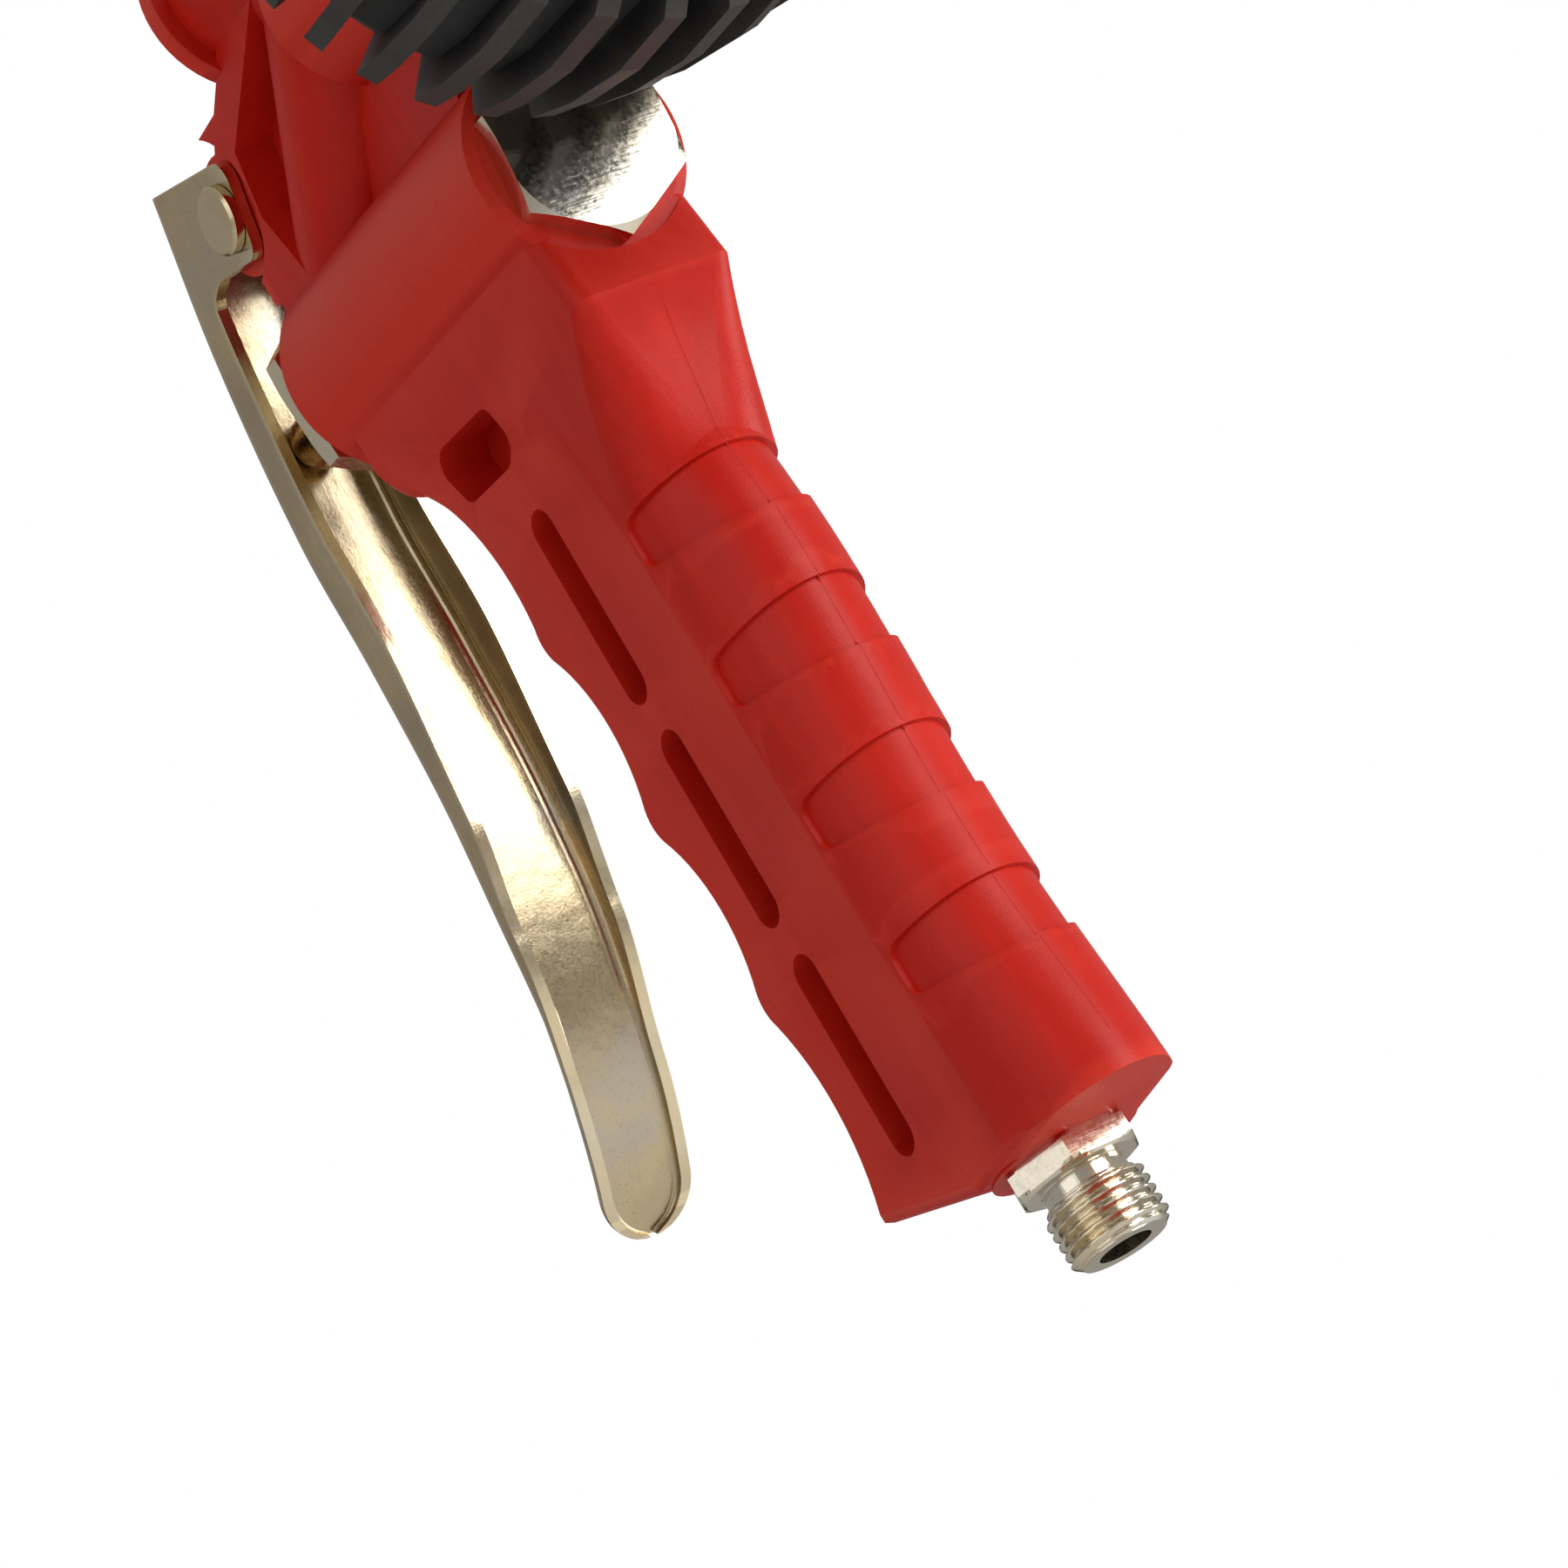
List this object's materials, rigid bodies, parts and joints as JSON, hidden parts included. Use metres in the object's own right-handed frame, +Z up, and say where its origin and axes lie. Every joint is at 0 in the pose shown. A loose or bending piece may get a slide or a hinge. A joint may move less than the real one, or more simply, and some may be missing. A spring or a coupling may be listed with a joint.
{
  "type": "tyre inflator with gauge",
  "caption": "Pistol-grip air tyre inflator: squeeze lever works a spool valve in the grip's head, and a rubber-booted dial gauge at the rear shows tyre pressure.",
  "frame": {"origin": "centre of the inlet thread's lower end", "axes": "+Z up the grip along the inlet axis, +X to the rear where the dial faces the user, -X to the front where the lever hangs, Y across the grip"},
  "size_m": [0.1818, 0.0788, 0.2102],
  "materials": {
    "red_nylon": "moulded glass-filled nylon, semi-gloss",
    "nickel": "bright nickel plate",
    "black_rubber": "moulded nitrile",
    "sintered_bronze": "sintered, porous",
    "brass": "turned and stamped",
    "spring_steel": "drawn wire and turned steel",
    "zinc_plated_steel": "yellowish bright plate over pressed steel",
    "boot_rubber": "matt moulded rubber",
    "black_steel": "black enamel",
    "clear_plastic": "clear window",
    "dial_white": "printed white dial",
    "pointer_red": "painted pointer"
  },
  "bodies": {
    "body": {"handle_body": "red_nylon", "inlet_connector": "nickel", "inlet_seal": "black_rubber", "inlet_filter": "sintered_bronze", "valve_sleeve": "brass", "rear_plug": "nickel", "plug_seal": "black_rubber", "front_gland": "nickel", "stem_seal": "black_rubber", "valve_spring": "spring_steel", "outlet_bush": "brass", "outlet_seal": "black_rubber", "pivot_pin": "zinc_plated_steel", "pin_clip": "spring_steel", "gauge_boot": "boot_rubber", "gauge_case": "black_steel", "window_gasket": "black_rubber", "dial_window": "clear_plastic", "bezel_ring": "black_steel", "gauge_socket": "brass", "gauge_seal": "black_rubber", "bourdon_tube": "brass", "movement_base": "brass", "movement_bridge": "brass", "movement_pillars": "brass", "hairspring": "spring_steel", "dial": "dial_white", "dial_screws": "brass", "stop_pin": "brass"},
    "lever": {"lever": "zinc_plated_steel"},
    "plunger": {"valve_stem": "brass", "spool_seals": "black_rubber"},
    "sector": {"sector_gear": "brass"},
    "pointer": {"pinion_arbor": "spring_steel", "pointer": "pointer_red"},
    "link": {"tip_link": "brass", "bourdon_tip": "brass"}
  },
  "joints": [
    {"name": "lever_squeeze", "type": "hinge", "parent": "body", "child": "lever", "pos_m": [-0.0398, 0, 0.1769], "axis": [0, -1, 0], "range_deg": [0, 14], "stiffness_Nm_per_rad": 1.2, "springref_deg": -5.73},
    {"name": "plunger_slide", "type": "slide", "parent": "body", "child": "plunger", "axis": [0.9854, 0, -0.1702], "range_m": [0, 0.0068], "deforming": ["valve_spring"]},
    {"name": "sector_turn", "type": "hinge", "parent": "body", "child": "sector", "pos_m": [0.05292, -0.0084, 0.15643], "axis": [0.9854, 0, -0.1702], "range_deg": [0, 45]},
    {"name": "pointer_turn", "type": "hinge", "parent": "body", "child": "pointer", "pos_m": [0.0554, 0, 0.17076], "axis": [0.9854, 0, -0.1702], "range_deg": [-270, 0], "deforming": ["hairspring"]},
    {"name": "link_swing", "type": "hinge", "parent": "sector", "child": "link", "pos_m": [0.05563, -0.01489, 0.15862], "axis": [0.9854, 0, -0.1702], "range_deg": [-45, 0]}
  ],
  "couplings": [
    {"joint": "plunger_slide", "follows": "lever_squeeze", "m_per_rad": 0.0274},
    {"joint": "pointer_turn", "follows": "sector_turn", "ratio": -6},
    {"joint": "link_swing", "follows": "sector_turn", "ratio": -1}
  ]
}
